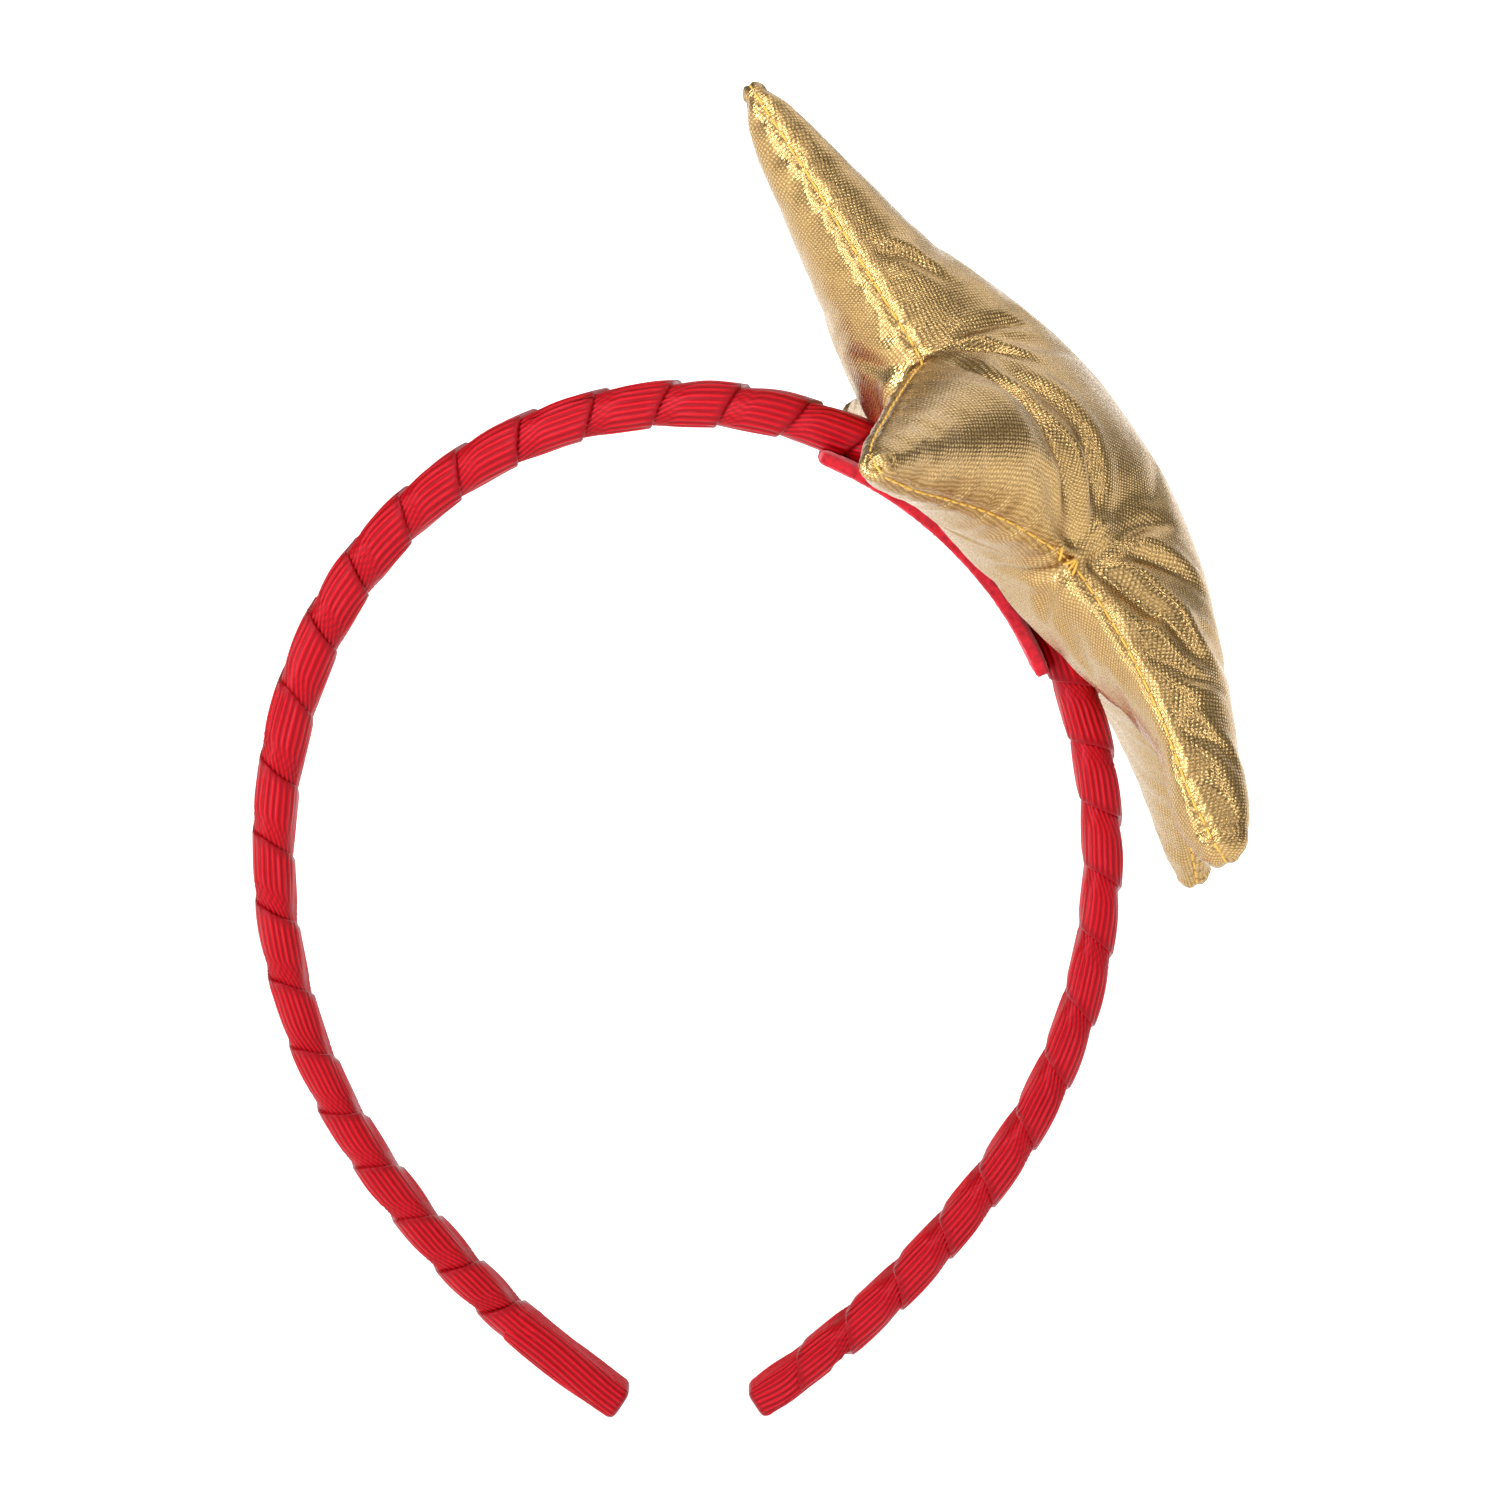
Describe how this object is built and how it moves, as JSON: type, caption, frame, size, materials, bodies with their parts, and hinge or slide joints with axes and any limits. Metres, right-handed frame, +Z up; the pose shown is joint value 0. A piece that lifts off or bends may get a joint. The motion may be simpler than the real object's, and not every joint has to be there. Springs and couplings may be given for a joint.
{
  "type": "star headband",
  "caption": "Ribbon-wrapped Alice band with a stuffed foil-cloth star fixed to one side, for dressing up.",
  "frame": {"origin": "centre of the crown's arc, in the middle of the head opening", "axes": "+Z up to the crown, +X towards the side that carries the star, Y along the band's width; the head comes in along -Z"},
  "size_m": [0.135, 0.1366, 0.1926],
  "materials": {
    "core": "plain moulded plastic",
    "ribbon": "red grosgrain ribbon with a satin sheen",
    "ribbon_end": "red grosgrain ribbon, folded and glued",
    "felt": "fuzzy red felt",
    "glue": "clear hot-melt glue",
    "stuffing": "loose polyester fibre",
    "foil_cloth": "gold metallic woven foil cloth",
    "thread": "golden-yellow sewing thread"
  },
  "bodies": {
    "crown": {"core_crown": "core", "ribbon_crown": "ribbon", "felt_patch": "felt", "glue_patch": "glue", "glue_star": "glue", "star_stuffing": "stuffing", "star_back_panel": "foil_cloth", "star_front_panel": "foil_cloth", "star_seam_thread": "thread", "closing_stitches": "thread"},
    "left_leg": {"core_left_leg": "core", "ribbon_left_leg": "ribbon", "ribbon_end_left": "ribbon_end"},
    "right_leg": {"core_right_leg": "core", "ribbon_right_leg": "ribbon", "ribbon_end_right": "ribbon_end"}
  },
  "joints": [
    {"name": "left_spread", "type": "hinge", "parent": "crown", "child": "left_leg", "pos_m": [-0.05944, 0, 0], "axis": [0, 1, 0], "range_deg": [-3, 25], "stiffness_Nm_per_rad": 0.5},
    {"name": "right_spread", "type": "hinge", "parent": "crown", "child": "right_leg", "pos_m": [0.05944, 0, 0], "axis": [0, -1, 0], "range_deg": [-3, 25], "stiffness_Nm_per_rad": 0.5}
  ]
}
